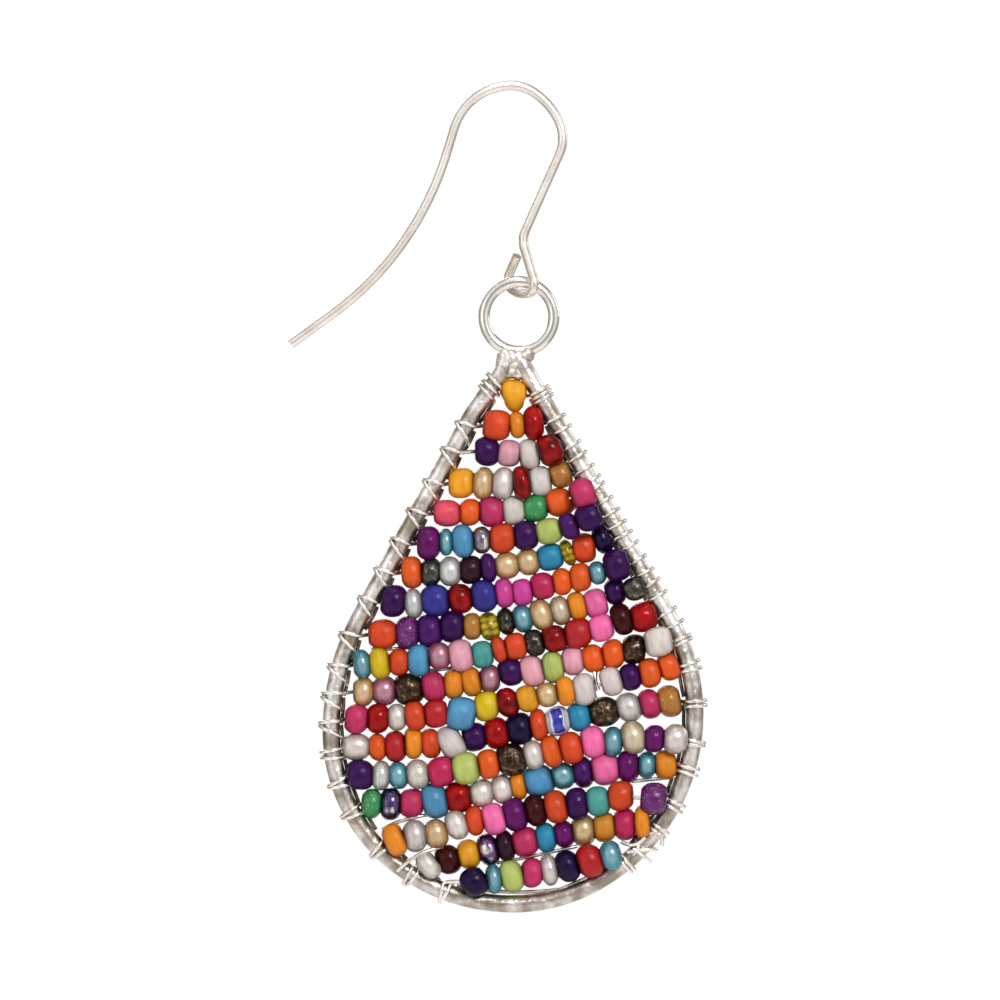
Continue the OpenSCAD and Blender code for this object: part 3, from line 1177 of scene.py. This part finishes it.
class EARRING_OT_bead_rows(bpy.types.Operator):
    """Strings the rows of glass beads from the chart"""

    bl_idname = "earring.bead_rows"
    bl_label = "Bead Rows"

    def execute(self, context):
        scene = context.scene
        sizes, colours = scene.earring_sizes, scene.earring_glass
        materials = {glass: make() for glass, make in GLASSES.items()}
        moulds = {
            shape: bead_mould(f"bead_{shape}", sizes, rim * sizes.rim, bulge, pinch)
            for shape, (rim, bulge, pinch) in MOULDS.items()
        }
        for index, laid in enumerate(laid_rows()):
            chance = random.Random(ROW_SEED + index)
            name = f"beads_row_{index + 1:02d}"
            row = string_row(name, laid, moulds, colours, materials, chance)
            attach(row, "drop")
            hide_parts(f"bead_row_{index + 1:02d}")
        for mould in moulds.values():
            bpy.data.objects.remove(mould)
        return {"FINISHED"}


# How each side is laced: left (-1) or right (1), how much the climb of its turns varies, and
# where the run down to the next row's turns begins and ends, all in millimetres
SIDES = ((-1, 0.12, -0.5, -2.7), (1, 0.15, -0.2, -2.6))
# How much of the thread shows before the first bead, in millimetres
THREAD_END = 0.3
# Where the lacing's draws of chance begin
LACING_SEED = 7


def turns_beside(index, side):
    """The turns that hold a row at one side, in millimetres as (how far above the row's end a
    turn begins, how far it climbs). The first row has three side by side. Others on the left
    have one that leaves the row and one that slants up the wire to the same place, and others
    on the right one that leaves the row and one below it, closer to it lower down."""
    if side < 0:
        slant = 1.2 if index < 12 else 0.5
        turns = ((-0.05, -0.4), (-0.45 - slant, slant))
        first_row = ((0.7, 0.5), (0.15, 0.4), (-0.5, 0.45))
    else:
        pitch = 1.15 if index < 10 else 0.42
        turns = ((0.0, 0.0), (-pitch, 0.0))
        first_row = ((0.0, 0.1), (-0.4, 0.0), (-0.75, 0.0))
    return turns if index else first_row


class EARRING_OT_binding_wire(bpy.types.Operator):
    """Threads the rows and laces them to both sides of the teardrop"""

    bl_idname = "earring.binding_wire"
    bl_label = "Binding Wire"

    def execute(self, context):
        sizes = context.scene.earring_sizes
        # Fine silver-coloured binding wire, drawn soft and pulled tight by hand
        material = silver("soft_binding_wire", "FCFAF7", "E6DED6", 0.26, (0.6, 0.008))
        # The same wire where it lies inside the teardrop, darkened as painted shade
        painted_shade = silver("tarnished_binding_wire", "8E847A", "4E443C", 0.3, (0.6, 0.006))
        wire = wire_tree()
        chance = random.Random(LACING_SEED)
        threads, left_wraps, right_wraps, runs = [], [], [], []
        for index, laid in enumerate(laid_rows()):
            ends = [
                bead.middle + side * ACROSS * bead.width * 0.5
                for side, bead in ((-1, laid[0]), (1, laid[-1]))
            ]
            threads.append([ends[0]] + [bead.middle for bead in laid] + [ends[1]])
            for (side, play, high, low), end, wraps in zip(SIDES, ends, (left_wraps, right_wraps)):
                start = beside_wire(wire, end.z, side)
                for k, (shift, lift) in enumerate(turns_beside(index, side)):
                    lift += chance.uniform(-play, play)
                    lead = [] if k else [end - side * ACROSS * THREAD_END * MM, end]
                    first = FROM_ROW if lead else FROM_BEHIND
                    turn = wire_turn(wire, start, sizes, shift * MM, lift * MM, first)
                    wraps.append(lead + turn)
                if index < len(CHART) - 1:
                    runs.append(wire_run(wire, start, sizes, high * MM, low * MM))
        loose = [[millimetres(x, z, y) for x, z, y in path] for path in LOOSE_STRANDS]
        for name, paths, finish in (
            ("row_threads", threads, material),
            ("left_wraps", left_wraps, material),
            ("right_wraps", right_wraps, material),
            ("inner_runs", runs, painted_shade),
            ("loose_strands", loose, material),
        ):
            piece = strand_piece(name, paths, sizes.strand, finish)
            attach(piece, "drop")
        return {"FINISHED"}


# The room's light from behind the camera (0) to behind the earring (1)
ROOM = (
    (0.0, "A29E9A"),
    (0.03, "B4B0AC"),
    (0.07, "FFFDFB"),
    (0.25, "F6F3F0"),
    (0.38, "D2CCC6"),
    (0.56, "B2A89F"),
    (0.74, "A1978E"),
    (0.88, "A2998F"),
    (1.0, "C2BAB2"),
)
# Each light: its name, its place and its size in metres, and its power in watts
LIGHTS = (
    ("window", (0.1, -0.28, 0.14), 0.1, 0.58),
    ("fill", (-0.26, -0.26, 0.02), 0.2, 0.08),
    ("top", (0.0, -0.04, 0.28), 0.16, 0.14),
    ("right", (0.26, 0.14, 0.08), 0.16, 0.13),
    ("back", (-0.12, 0.3, 0.14), 0.2, 0.3),
)
# The middle of the picture, a little left of the earring's own
PICTURE_MIDDLE = Vector((-0.93, 0.2, -34.6)) * MM
# The floor's round sheet: its radius, how low its underside is, its thickness and its eased edge
CARD_RADIUS = 0.085
CARD_HEIGHT = -0.09
CARD_THICKNESS = 2 * MM
CARD_EDGE = 0.6 * MM


class EARRING_OT_studio(bpy.types.Operator):
    """Sets up the camera, the lights and the pale floor"""

    bl_idname = "earring.studio"
    bl_label = "Studio"

    def execute(self, context):
        scene = context.scene
        settings = scene.earring_studio
        # The camera looks level at the earring
        bpy.ops.object.camera_add(
            location=PICTURE_MIDDLE + FRONT * settings.distance, rotation=(math.pi / 2, 0, 0)
        )
        camera = just_added("camera")
        camera.data.lens = settings.lens
        camera.data.clip_start = 0.01
        camera.data.clip_end = 20
        scene.camera = camera
        scene.view_settings.view_transform = "Standard"
        for name, place, size, power in LIGHTS:
            bpy.ops.object.light_add(type="AREA", location=place)
            light = just_added(name)
            light.data.size = size
            light.data.energy = power
            aim = PICTURE_MIDDLE - Vector(place)
            light.rotation_mode = "QUATERNION"
            light.rotation_quaternion = aim.to_track_quat("-Z", "Y")
        self.floor(settings)
        self.surroundings(scene, settings)
        return {"FINISHED"}

    def floor(self, settings):
        """A pale sheet of card under the earring, with an eased edge."""
        bpy.ops.mesh.primitive_circle_add(
            vertices=96,
            radius=CARD_RADIUS,
            fill_type="NGON",
            location=(PICTURE_MIDDLE.x, 0, CARD_HEIGHT),
        )
        floor = just_added("floor")
        bpy.ops.object.transform_apply(location=True, rotation=True, scale=True)
        bpy.ops.object.mode_set(mode="EDIT")
        bpy.ops.mesh.select_all(action="SELECT")
        up = (0, 0, CARD_THICKNESS)
        bpy.ops.mesh.extrude_region_move(TRANSFORM_OT_translate={"value": up})
        bpy.ops.mesh.select_all(action="SELECT")
        bpy.ops.mesh.normals_make_consistent(inside=False)
        select_parts(floor, "polygons", lambda face: face.normal.z > 0.9)
        bpy.ops.mesh.bevel(offset=CARD_EDGE, segments=3, affect="EDGES")
        bpy.ops.object.mode_set(mode="OBJECT")
        # Matt studio card: even and without sheen, with a faint tooth
        material, add, place = new_material("matt_studio_card")
        tooth = add("TexNoise", {"Vector": place, "Scale": 1 / (0.5 * MM)})
        rough = add("Bump", {"Height": tooth, "Distance": 0.01 * MM})
        close_material(
            material, {"Base Color": (*settings.paper, 1), "Roughness": 0.9, "Normal": rough}
        )
        floor.data.materials.append(material)

    def surroundings(self, scene, settings):
        """A white background for the camera. The light and the gloss come from a pale room:
        white screens round the camera, which is in a darker gap, a duller band at the sides and
        a paler wall behind the earring."""
        world = bpy.data.worlds.new("studio")
        world.use_nodes = True
        scene.world = world
        world.node_tree.nodes.clear()
        add = partial(add_node, world.node_tree)
        way = add("TexCoord").outputs["Generated"]
        depth = add("SeparateXYZ", {"Vector": way}).outputs["Y"]
        behind = add("MapRange", {"Value": depth, "From Min": -1.0})
        room = add("ValToRGB", {"Fac": behind}, stops=ROOM)
        lit = add("Background", {"Color": room, "Strength": 0.86})
        paper = (*settings.paper, 1)
        seen = add("Background", {"Color": paper, "Strength": 1.0})
        camera_ray = add("LightPath").outputs["Is Camera Ray"]
        both = add("MixShader", {0: camera_ray, 1: lit, 2: seen})
        add("OutputWorld", {"Surface": both})


class EARRING_PT_sidebar(bpy.types.Panel):
    """Lists the steps and the sizes of the earring"""

    bl_idname = "EARRING_PT_sidebar"
    bl_label = "Beaded Drop Earring"
    bl_space_type = "VIEW_3D"
    bl_region_type = "UI"
    bl_category = "Earring"

    def draw(self, context):
        for step in STEPS:
            self.layout.operator(step.bl_idname)
        for group in ("earring_sizes", "earring_studio", "earring_glass"):
            box = self.layout.box()
            settings = getattr(context.scene, group)
            for key in settings.__annotations__:
                box.prop(settings, key)


STEPS = (
    EARRING_OT_studio,
    EARRING_OT_silver_wires,
    EARRING_OT_bead_rows,
    EARRING_OT_binding_wire,
)
CLASSES = (EarringSizes, GlassColours, StudioSettings, *STEPS, EARRING_PT_sidebar)


def register():
    for cls in CLASSES:
        bpy.utils.register_class(cls)
    bpy.types.Scene.earring_sizes = bpy.props.PointerProperty(type=EarringSizes)
    bpy.types.Scene.earring_glass = bpy.props.PointerProperty(type=GlassColours)
    bpy.types.Scene.earring_studio = bpy.props.PointerProperty(type=StudioSettings)


def unregister():
    del bpy.types.Scene.earring_studio
    del bpy.types.Scene.earring_glass
    del bpy.types.Scene.earring_sizes
    for cls in reversed(CLASSES):
        bpy.utils.unregister_class(cls)


def main():
    """Makes the earring and its studio."""
    register()
    bpy.ops.earring.studio()
    bpy.ops.earring.silver_wires()
    bpy.ops.earring.bead_rows()
    bpy.ops.earring.binding_wire()


if __name__ == "__main__":
    main()
